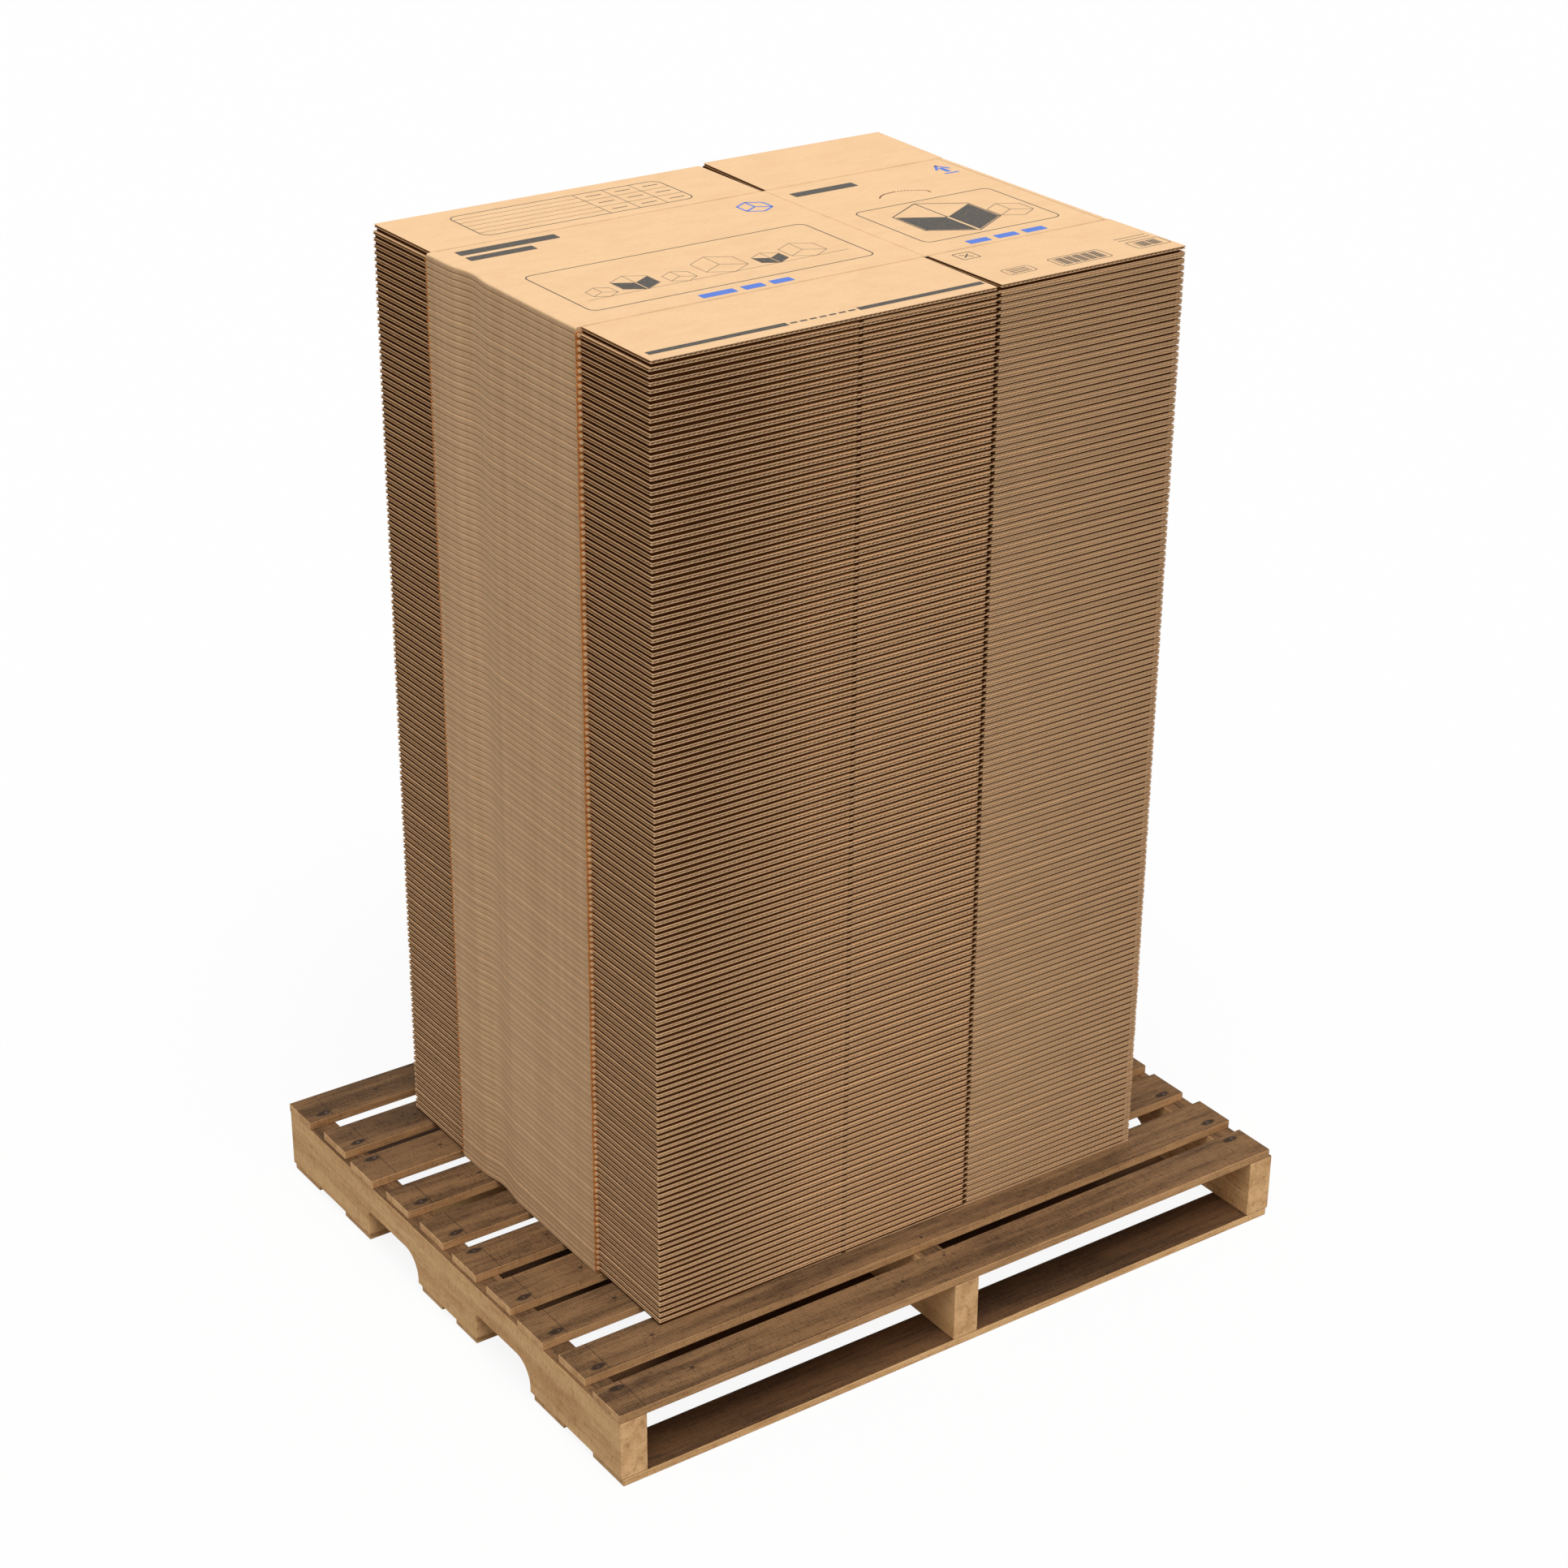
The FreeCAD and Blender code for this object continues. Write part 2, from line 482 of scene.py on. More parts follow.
def paper_fibre_group() -> bpy.types.NodeTree:
    """Build the look of kraft paper: soft clouds, short fibres and a few dark specks.

    Returns:
        The group, with a Color and a Height output.
    """
    group, tree, entry, leave = effect_group(
        "paper_fibre",
        {"Place": "Vector", "Paper": "Color", "Fibre": "Color", "Clouds": "Float", "Specks": "Float"},
        {"Color": "Color", "Height": "Float"})
    place = entry.outputs["Place"]
    clouds = tree.noise(place, 18.0, 4.0, 0.6, (1, 2.2, 1))
    fibres = tree.noise(place, 240.0, 3.0, 0.6, (1, 3.0, 1))
    specks = tree.noise(place, 95.0, 2.0, 0.5, (1, 3.4, 1))
    cloudy = tree.times(tree.span(clouds, 0.38, 0.68), entry.outputs["Clouds"])
    fibrous = tree.times(tree.span(fibres, 0.45, 0.75), 0.22)
    specked = tree.times(tree.span(specks, 0.67, 0.74), entry.outputs["Specks"])
    shade = tree.math("MAXIMUM", tree.plus(cloudy, fibrous), specked)
    tree.feed(leave.inputs["Color"], tree.mix(shade, entry.outputs["Paper"], entry.outputs["Fibre"]))
    tree.feed(leave.inputs["Height"], tree.plus(fibres, tree.times(clouds, 0.6)))
    return group


def sawn_grain_group() -> bpy.types.NodeTree:
    """Build the look of rough sawn board: streaks along it, rings, pores and the saw's marks across.

    Returns:
        The group, with a Color and a Height output. Its place runs along, across and up the board.
    """
    group, tree, entry, leave = effect_group(
        "sawn_grain",
        {"Place": "Vector", "Pale": "Color", "Dark": "Color", "Streaks": "Float", "Saw": "Float"},
        {"Color": "Color", "Height": "Float"})
    place = entry.outputs["Place"]
    bands = tree.noise(place, 7.0, 5.0, 0.62, (0.35, 5.0, 5.0))
    pores = tree.noise(place, 60.0, 5.0, 0.75, (0.4, 7.0, 7.0))
    blotch = tree.noise(place, 9.0, 3.0, 0.5)
    saw = tree.noise(place, 260.0, 3.0, 0.65, (3.0, 0.35, 0.35))
    weft = tree.noise(place, 230.0, 2.0, 0.5, (0.12, 3.0, 3.0))
    streak = tree.times(tree.span(bands, 0.4, 0.62), entry.outputs["Streaks"])
    pore = tree.times(tree.span(pores, 0.5, 0.68), 0.36)
    marks = tree.times(tree.span(saw, 0.5, 0.74), entry.outputs["Saw"])
    threads = tree.times(tree.span(weft, 0.5, 0.75), tree.times(entry.outputs["Saw"], 0.7))
    shade = tree.plus(tree.plus(streak, pore), tree.plus(marks, threads), True)
    shade = tree.plus(shade, tree.times(tree.span(blotch, 0.45, 0.75), 0.18), True)
    tree.feed(leave.inputs["Color"], tree.mix(shade, entry.outputs["Pale"], entry.outputs["Dark"]))
    height = tree.plus(tree.times(pores, -0.6), tree.times(saw, 0.5))
    tree.feed(leave.inputs["Height"], tree.plus(height, tree.times(weft, 0.4)))
    return group


def deck_marks_group() -> bpy.types.NodeTree:
    """Build the marks of a deck board: stains round its nails, knots, a saw line and a linen-like weave.

    Returns:
        The group, with a Mask and a Weave output. Its place runs along, across and up the board in metres.
    """
    group, tree, entry, leave = effect_group("deck_marks", {"Place": "Vector", "Knot": "Vector"},
                                             {"Mask": "Float", "Weave": "Float"})
    place = tree.add("SeparateXYZ", Vector=entry.outputs["Place"])
    along, across = place.outputs[0], place.outputs[1]
    knot = tree.add("SeparateXYZ", Vector=entry.outputs["Knot"])
    wander = tree.times(tree.noise(entry.outputs["Place"], 45.0, 3.0, 0.6), 0.008)
    half = tree.math("ABSOLUTE", tree.minus(along, BOARD_HALF))
    nail = tree.math("ABSOLUTE", tree.minus(half, NAIL_LINE))
    aside = tree.times(tree.minus(across, NAIL_ASIDE), 1.4)
    stain = tree.reach(tree.times(nail, 0.6), aside)
    mask = tree.span(tree.plus(stain, wander), 0.0145, 0.0095, 0.0, 0.95)
    for at in (knot.outputs[0], knot.outputs[2]):
        aside = tree.minus(along, at)
        up = tree.times(tree.minus(across, knot.outputs[1]), 1.3)
        away = tree.plus(tree.reach(aside, up), wander)
        heart = tree.span(away, 0.0105, 0.0065, 0.0, 0.85)
        angle = tree.math("ARCTAN2", up, aside)
        spokes = tree.math("ABSOLUTE", tree.math("SINE", tree.plus(tree.times(angle, 3.5), at)))
        star = tree.times(tree.span(spokes, 0.35, 0.1), tree.span(away, 0.024, 0.012, 0.0, 0.75))
        mask = tree.math("MAXIMUM", mask, tree.math("MAXIMUM", heart, star))
    line = tree.math("ABSOLUTE", tree.minus(tree.plus(along, tree.times(wander, 0.3)), 0.045))
    mask = tree.math("MAXIMUM", mask, tree.span(line, 0.0016, 0.0006, 0.0, 0.5))
    threads = []
    for way, drift in ((along, across), (across, along)):
        shift = tree.times(tree.math("SINE", tree.times(drift, 90.0)), 0.5)
        phase = tree.plus(tree.times(way, 2 * math.pi / 0.0042), shift)
        threads.append(tree.span(tree.math("SINE", phase), -0.3, 0.9))
    tree.feed(leave.inputs["Mask"], mask)
    tree.feed(leave.inputs["Weave"], tree.math("MAXIMUM", threads[0], threads[1]))
    return group


def surface(name: str, roughness: float, specular: float = 0.3) -> tuple:
    """Start a material.

    Args:
        name: Its name.
        roughness: The shader's own roughness.
        specular: The shader's own specular level.

    Returns:
        The material, its short calls and its shader node.
    """
    material = bpy.data.materials.new(name)
    material.use_nodes = True
    tree = Tree(material.node_tree)
    shader = material.node_tree.nodes["Principled BSDF"]
    shader.inputs["Roughness"].default_value = roughness
    shader.inputs["Specular IOR Level"].default_value = specular
    return material, tree, shader


@dataclass(frozen=True)
class PaperFinish:
    """Kraft paper, as on a liner, a flute, a fold or a cut end, and the painted shade of the gaps and flute
    holes.
    """

    name: str
    paper: tuple
    fibre: tuple
    clouds: float = 0.35
    specks: float = 0.5
    roughness: float = 0.85
    bump: float = 0.15
    stretch: tuple = (1.0, 1.0, 1.0)
    # A colour mixed in towards the floor: painted bounce light from the floor
    foot: tuple | None = None
    shine: float = 0.2

    def build(self, fibres: bpy.types.NodeTree) -> bpy.types.Material:
        """Make the material.

        Args:
            fibres: The paper fibre group.

        Returns:
            The material.
        """
        material, tree, shader = surface(self.name, self.roughness, self.shine)
        place = tree.add("TexCoord").outputs["Object"]
        mapping = tree.add("Mapping", Vector=place, Scale=self.stretch)
        look = tree.add("Group", {"node_tree": fibres}, Place=mapping.outputs[0], Paper=self.paper,
                        Fibre=self.fibre, Clouds=self.clouds, Specks=self.specks)
        bump = tree.add("Bump", Strength=self.bump, Distance=0.0004, Height=look.outputs["Height"])
        color = look.outputs["Color"]
        # Lighter towards the floor: painted bounce light from the floor
        if self.foot:
            height = tree.add("SeparateXYZ", Vector=place).outputs[2]
            color = tree.mix(tree.span(height, 1.3, 0.1), color, self.foot)
        tree.feed(shader.inputs["Base Color"], color)
        tree.feed(shader.inputs["Normal"], bump.outputs[0])
        return material


@dataclass(frozen=True)
class WoodFinish:
    """Rough sawn pallet wood, read from the board's own place attribute."""

    name: str
    pale: tuple
    dark: tuple
    streaks: float
    saw: float
    marked: bool = False
    mark: tuple = srgb(46, 32, 22)
    thread: tuple = srgb(72, 50, 32)
    roughness: float = 0.82

    def build(self, grain: bpy.types.NodeTree, marks: bpy.types.NodeTree) -> bpy.types.Material:
        """Make the material.

        Args:
            grain: The sawn grain group.
            marks: The group of a deck board's marks.

        Returns:
            The material.
        """
        material, tree, shader = surface(self.name, self.roughness, 0.25)
        place = tree.add("Attribute", {"attribute_name": "board_place"}).outputs["Vector"]
        seed = tree.add("Attribute", {"attribute_name": "board_seed"}).outputs["Vector"]
        moved = tree.add("VectorMath", {"operation": "ADD"}, i0=place, i1=seed).outputs[0]
        look = tree.add("Group", {"node_tree": grain}, Place=moved, Pale=self.pale, Dark=self.dark,
                        Streaks=self.streaks, Saw=self.saw)
        color = look.outputs["Color"]
        if self.marked:
            knot = tree.add("Attribute", {"attribute_name": "board_knot"}).outputs["Vector"]
            made = tree.add("Group", {"node_tree": marks}, Place=place, Knot=knot)
            color = tree.mix(tree.times(made.outputs["Weave"], 0.42), color, self.thread)
            color = tree.mix(made.outputs["Mask"], color, self.mark)
        bump = tree.add("Bump", Strength=0.35, Distance=0.0008, Height=look.outputs["Height"])
        tree.feed(shader.inputs["Base Color"], color)
        tree.feed(shader.inputs["Normal"], bump.outputs[0])
        return material


@dataclass(frozen=True)
class InkFinish:
    """Flexo ink printed on kraft board, with the paper showing through a little."""

    name: str
    ink: tuple
    paper: tuple
    wear: float = 0.25

    def build(self) -> bpy.types.Material:
        """Make the material and return it."""
        material, tree, shader = surface(self.name, 0.7, 0.25)
        place = tree.add("TexCoord").outputs["Object"]
        worn = tree.noise(place, 420.0, 3.0, 0.6)
        share = tree.times(tree.span(worn, 0.5, 0.75), self.wear)
        tree.feed(shader.inputs["Base Color"], tree.mix(share, self.ink, self.paper))
        return material


@dataclass(frozen=True)
class SteelFinish:
    """Dull, rusting nail steel."""

    name: str = "nail_steel"
    steel: tuple = srgb(78, 72, 68)
    rust: tuple = srgb(86, 52, 34)

    def build(self) -> bpy.types.Material:
        """Make the material and return it."""
        material, tree, shader = surface(self.name, 0.5, 0.5)
        place = tree.add("TexCoord").outputs["Object"]
        patches = tree.span(tree.noise(place, 300.0, 3.0, 0.6), 0.42, 0.6)
        tree.feed(shader.inputs["Base Color"], tree.mix(patches, self.steel, self.rust))
        tree.feed(shader.inputs["Metallic"], tree.minus(0.8, patches, True))
        tree.feed(shader.inputs["Roughness"], tree.plus(tree.times(patches, 0.35), 0.4))
        return material


@dataclass
class Finishes:
    """Every material of the load, built once."""

    made: dict = field(default_factory=dict)

    def build(self) -> None:
        """Build the shared effects and each finish."""
        fibres = paper_fibre_group()
        grain = sawn_grain_group()
        kraft = srgb(252, 211, 164)
        papers = [
            PaperFinish("kraft_top", kraft, srgb(214, 164, 116), 0.12, 0.5),
            PaperFinish("liner_edge", srgb(230, 188, 142), srgb(190, 147, 106), 0.12, 0.3),
            PaperFinish("flute_paper", srgb(246, 204, 156), srgb(206, 160, 114), 0.12, 0.3),
            # The medium in the recess between the liners, darkened as painted shade
            PaperFinish("medium_side_shade", srgb(142, 98, 58), srgb(108, 72, 40), 0.2, 0.2, shine=0.0),
            PaperFinish("liner_pale", srgb(218, 179, 136), srgb(184, 146, 108), 0.12, 0.2),
            # Painted shade: the dark core behind the flutes and inside the boxes, where there is only shade
            PaperFinish("core_flute_shade", srgb(84, 84, 92), srgb(58, 54, 56), 0.3, 0.0),
            # Painted shade: the dark slabs in the gaps between sheets, lighter near the floor as painted
            # bounce light
            PaperFinish("gap_shade", srgb(76, 42, 18), srgb(54, 28, 11), 0.5, 0.3, stretch=(1, 1, 3),
                        foot=srgb(84, 50, 24), shine=0.0),
            PaperFinish("score_band", srgb(238, 196, 150), srgb(170, 132, 98), 0.3, 1.0),
            PaperFinish("fold_face", srgb(228, 188, 144), srgb(196, 152, 108), 0.28, 0.25,
                        stretch=(1, 1, 0.05)),
            PaperFinish("fold_end", srgb(214, 142, 78), srgb(160, 92, 44), 0.4, 0.4),
            PaperFinish("fold_disc", srgb(240, 204, 158), srgb(200, 154, 108), 0.3, 0.3),
            PaperFinish("cut_line", srgb(96, 62, 36), srgb(70, 44, 26), 0.5, 0.3),
            # Lighter painted shade seen through the shallow flute holes of the right-hand flaps
            PaperFinish("core_pale_shade", srgb(188, 156, 120), srgb(152, 126, 98), 0.2, 0.0),
        ]
        for finish in papers:
            self.made[finish.name] = finish.build(fibres)
        woods = [
            WoodFinish("wood_side", srgb(255, 208, 148), srgb(192, 138, 86), 0.35, 0.75),
            WoodFinish("wood_edge", srgb(218, 168, 116), srgb(134, 94, 58), 0.3, 0.6),
            # The bottom boards' tops: a darker copy of the top wood, painted shade under the deck
            WoodFinish("wood_top_shaded", srgb(122, 86, 54), srgb(46, 30, 18), 0.5, 0.65, True),
            WoodFinish("wood_top", srgb(158, 119, 80), srgb(62, 42, 26), 0.5, 0.65, True),
            WoodFinish("wood_end", srgb(255, 206, 148), srgb(186, 134, 86), 0.4, 0.5),
        ]
        marks = deck_marks_group()
        for finish in woods:
            self.made[finish.name] = finish.build(grain, marks)
        self.made["ink_dark"] = InkFinish("ink_dark", srgb(80, 77, 73), kraft, 0.2).build()
        self.made["ink_blue"] = InkFinish("ink_blue", srgb(92, 132, 222), kraft, 0.15).build()
        self.made["nail_steel"] = SteelFinish().build()

    def of(self, *names: str) -> list:
        """Return the materials with these names, in order."""
        return [self.made[name] for name in names]


# Flat boxes


@dataclass(frozen=True)
class Carton:
    """Sizes of one flat box in millimetres, as in the frame."""

    board: float = 4.2
    gap: float = 1.37
    liner: float = 0.55
    medium: float = 0.4
    flute: float = 7.81
    flute_depth: float = 2.4
    flat_depth: float = 0.9
    long_panel: float = 558.8
    short_panel: float = 330.2
    height: float = 391.0
    flap: float = 165.0
    slot: float = 8.3
    middle_x: float = -7.1
    middle_y: float = 8.8
    deck_top: float = 124.2
    inner_left: float = -446.0
    fold_tip_right: float = 439.4
    left_setback: float = 11.0
    crease: float = 0.28
    crease_band: float = 2.5
    band_half: float = 1.6
    band_depth: float = 0.4
    flute_inset: float = 0.3
    flute_tuck: float = 0.5
    inner_gap: float = 0.5

    @property
    def pitch(self) -> float:
        """Height of one box."""
        return 2 * self.board + self.gap

    @property
    def left(self) -> float:
        """X of the flaps' left edges."""
        return self.middle_x - (self.long_panel + self.short_panel) / 2

    @property
    def right(self) -> float:
        """X of the flaps' right edges."""
        return self.middle_x + (self.long_panel + self.short_panel) / 2

    @property
    def inner_right(self) -> float:
        """X where the right fold meets the panels."""
        return self.fold_tip_right - 11

    @property
    def upper_slot(self) -> float:
        """X of the upper sheet's slots."""
        return self.left + self.long_panel

    @property
    def lower_slot(self) -> float:
        """X of the lower sheet's slots."""
        return self.left + self.short_panel

    def score(self, end: End) -> float:
        """Y of the score line at one end."""
        return self.middle_y + end.value * self.height / 2

    def edge(self, end: End) -> float:
        """Y of the flaps' free edges at one end."""
        return self.score(end) + end.value * self.flap


@dataclass(frozen=True)
class Flap:
    """One flap of corrugated board: two liners, a fluted medium and the dark inside behind it, a slab of
    painted shade.
    """

    x0: float
    x1: float
    sheet: Sheet
    end: End
    setback_left: float = 0.0
    setback_right: float = 0.0
    lift: float = 0.0
    thick: float = 4.2
    thin_end: float = 1.0
    inset: float = 0.9
    crushed: bool = False
    top_slot: int = Skin.LINER
    core_slot: int = Skin.SHADED_INSIDE
    liner_slot: int = Skin.LINER

    def build(self, shape: Shape, box: Carton) -> None:
        """Add the flap to a box's mesh.

        Args:
            shape: The mesh.
            box: The box's sizes.
        """
        out = self.end.value
        edge, score = box.edge(self.end), box.score(self.end)
        z0 = 0.0 if self.sheet is Sheet.LOWER else box.pitch - box.board
        z1 = z0 + self.thick
        near, far = min(edge, score), max(edge, score)
        made = shape.slab((self.x0, near, z0), (self.x1, far, z0 + box.liner), self.liner_slot)
        top = shape.slab((self.x0, near, z1 - box.liner), (self.x1, far, z1),
                         self.top_slot or self.liner_slot)
        if self.crushed:
            top = self.crush_score(shape, box, top, z1)
        behind = edge - out * (box.flute_depth if self.core_slot == Skin.SHADED_INSIDE else box.flat_depth)
        # The core's front is painted shade, seen through the flute holes
        core = shape.slab((self.x0 + self.inset, min(behind, score), z0 + box.liner),
                          (self.x1 - self.inset, max(behind, score), z1 - box.liner), self.core_slot)
        # The core's sides take the medium's colour, darkened as painted shade of the recess between the
        # liners
        for face in faces_of(core):
            if abs(face.normal.x) > 0.5:
                face.material_index = Skin.SHADED_MEDIUM
        ends = (edge - out * box.flute_inset, behind - out * box.flute_tuck)
        made += [*top, *core, *self.flutes(shape, box, ends, z0 + box.liner, z1 - box.liner)]
        run = self.x1 - self.x0
        for vert in made:
            share = (vert.co.x - self.x0) / run
            vert.co.z = z0 + (vert.co.z - z0) * (1 + share * (self.thin_end - 1))
        slope = -out * (self.setback_right - self.setback_left) / run
        start = -out * self.setback_left - slope * self.x0
        rise = self.lift / (edge - score)
        shear = Matrix(((1, 0, 0, 0), (slope, 1, 0, start), (0, rise, 1, -rise * score), (0, 0, 0, 1)))
        bmesh.ops.transform(shape.bm, matrix=shear, verts=made)

    def crush_score(self, shape: Shape, box: Carton, top: list, z1: float) -> list:
        """Press the score line into the upper liner.

        Args:
            shape: The mesh.
            box: The box's sizes.
            top: The liner's vertices.
            z1: Height of the liner's upper face.

        Returns:
            The liner's vertices, with the new ones.
        """
        score = box.score(self.end)
        made = shape.cut(top, (0, score + self.end.value * box.crease_band, 0), (0, 1, 0))
        for vert in top:
            if abs(vert.co.y - score) < TOUCH and abs(vert.co.z - z1) < TOUCH:
                vert.co.z -= box.crease
        for face in faces_of(top):
            middle = face.calc_center_median()
            if abs(middle.y - score) < box.band_half and middle.z > z1 - box.band_depth:
                face.material_index = TopSkin.SCORE
        return made

    def flutes(self, shape: Shape, box: Carton, ends: tuple, low: float, high: float) -> list:
        """Add the wavy medium that shows at the flap's cut edge, open at the back where the inside hides it.

        Args:
            shape: The mesh.
            box: The box's sizes.
            ends: Y of the medium's cut edge and of its back.
            low: Upper face of the lower liner.
            high: Underside of the upper liner.

        Returns:
            The medium's vertices.
        """
        front, back = ends
        run = self.x1 - self.x0
        count = max(2, round(run / (box.flute / 2)))
        middle = ((self.x0 + self.x1) / 2, (front + back) / 2, 0)
        matrix = Matrix.Translation(middle) @ Matrix.Diagonal((run, abs(front - back), 1, 1))
        grid = bmesh.ops.create_grid(shape.bm, x_segments=count, y_segments=1, size=0.5,
                                     matrix=matrix)["verts"]
        step = run / count
        for vert in grid:
            crest = round((vert.co.x - self.x0) / step) % 2
            vert.co.z = high - box.medium if crest else low
        verts = shape.raise_faces(list(faces_of(grid)), box.medium, Skin.FLUTE)
        hidden = [face for face in faces_of(verts)
                  if all(abs(vert.co.y - back) < TOUCH for vert in face.verts)]
        bmesh.ops.delete(shape.bm, geom=hidden, context="FACES_ONLY")
        return verts


@dataclass(frozen=True)
class Folds:
    """The two folded sides of a box: a bead for each, swept along its plan."""

    base: float
    top: float
    radius: float
    end_slot: int
    top_slot: int
    steps: int = 2
    depth: float = 12.0
    tight: float = 2.0

    def build(self, shape: Shape, box: Carton) -> None:
        """Add both beads to a box's mesh."""
        self.bead(shape, left_plan(), -1, box.inner_left)
        self.bead(shape, right_plan(box), 1, box.inner_right)

    def bead(self, shape: Shape, plan: tuple, out: int, inner: float) -> None:
        """Add one bead.

        Args:
            shape: The box's mesh.
            plan: Its stations (y, x).
            out: The way out of the stack along X.
            inner: X where it meets the panels.
        """
        near, tip = plan[0]
        turns = [math.pi / 2 * step / self.steps for step in range(self.steps + 1)]
        arc = [(math.sin(turn) - 1, 1 - math.cos(turn)) for turn in turns]
        low = [(out * self.tight * x, self.base + self.tight * z) for x, z in arc]
        high = [(out * self.radius * x, self.top - self.radius * z) for x, z in reversed(arc)]
        profile = [(-out * self.depth, self.base), *low, *high, (-out * self.depth, self.top)]
        outline = [(tip + x, near, z) for x, z in profile]
        stations = [Vector((x - tip, y - near, 0)) for y, x in plan]
        made = shape.sweep(outline, stations, Skin.FOLD, self.end_slot)
        tips = {round(y, 1): x for y, x in plan}
        for vert in made:
            if abs(abs(vert.co.x - tips[round(vert.co.y, 1)]) - self.depth) < 0.1:
                vert.co.x = inner
        bend = self.radius * (1 - math.sqrt(0.5))
        for face in faces_of(made):
            if face.calc_center_median().z > self.top - bend * 1.5:
                face.material_index = self.top_slot


def left_plan() -> tuple:
    """Return the stations (y, x) of the left fold, with the dent pressed into it."""
    tips = [(-186.7, -458.3), (-176.0, -457.9), (-158.7, -458.1), (-110.0, -458.1), (-4.7, -456.7),
            (39.3, -456.4), (93.3, -450.4), (147.3, -457.6), (204.3, -458.0)]
    places = [-186.7, -181.0, -176.0, -158.7, -120.0, -60.0, -4.7, 20.0, 39.3, 55.0, 70.0, 82.0, 93.3, 106.0,
              120.0, 134.0, 147.3, 175.0, 204.3]
    return tuple((y, smooth_between(tips, y)) for y in places)


def right_plan(box: Carton) -> tuple:
    """Return the stations (y, x) of the right fold."""
    tip = box.fold_tip_right
    return ((box.score(End.NEAR), tip - 1.0), (box.score(End.NEAR) + 20, tip), (box.middle_y, tip - 0.6),
            (box.score(End.FAR) - 20, tip), (box.score(End.FAR), tip - 1.0))


def shade_gap(shape: Shape, box: Carton, end: End, start: tuple, stop: tuple, slot: int,
              lift: float = 0.0) -> None:
    """Close a stretch of the gap between a box's two sheets with a dark slab of painted shade, for the dark
    that is seen in it.

    Args:
        shape: The box's mesh.
        box: The box's sizes.
        end: The end of the box.
        start: X where the stretch starts, how far it lies behind the flaps' edges and its underside there.
        stop: The same where it stops.
        slot: Index of its material.
        lift: How far its upper side rises at the flaps' edges.
    """
    edge, score = box.edge(end), box.score(end)
    top = box.pitch - box.board + 0.2
    made = shape.slab((start[0], min(edge, score), 0.0), (stop[0], max(edge, score), top), slot)
    for vert in made:
        side = start if abs(vert.co.x - start[0]) < TOUCH else stop
        front = abs(vert.co.y - edge) < TOUCH
        if vert.co.z < TOUCH:
            vert.co.z = side[2]
        elif front:
            vert.co.z += lift
        if front:
            vert.co.y -= end.value * side[1]


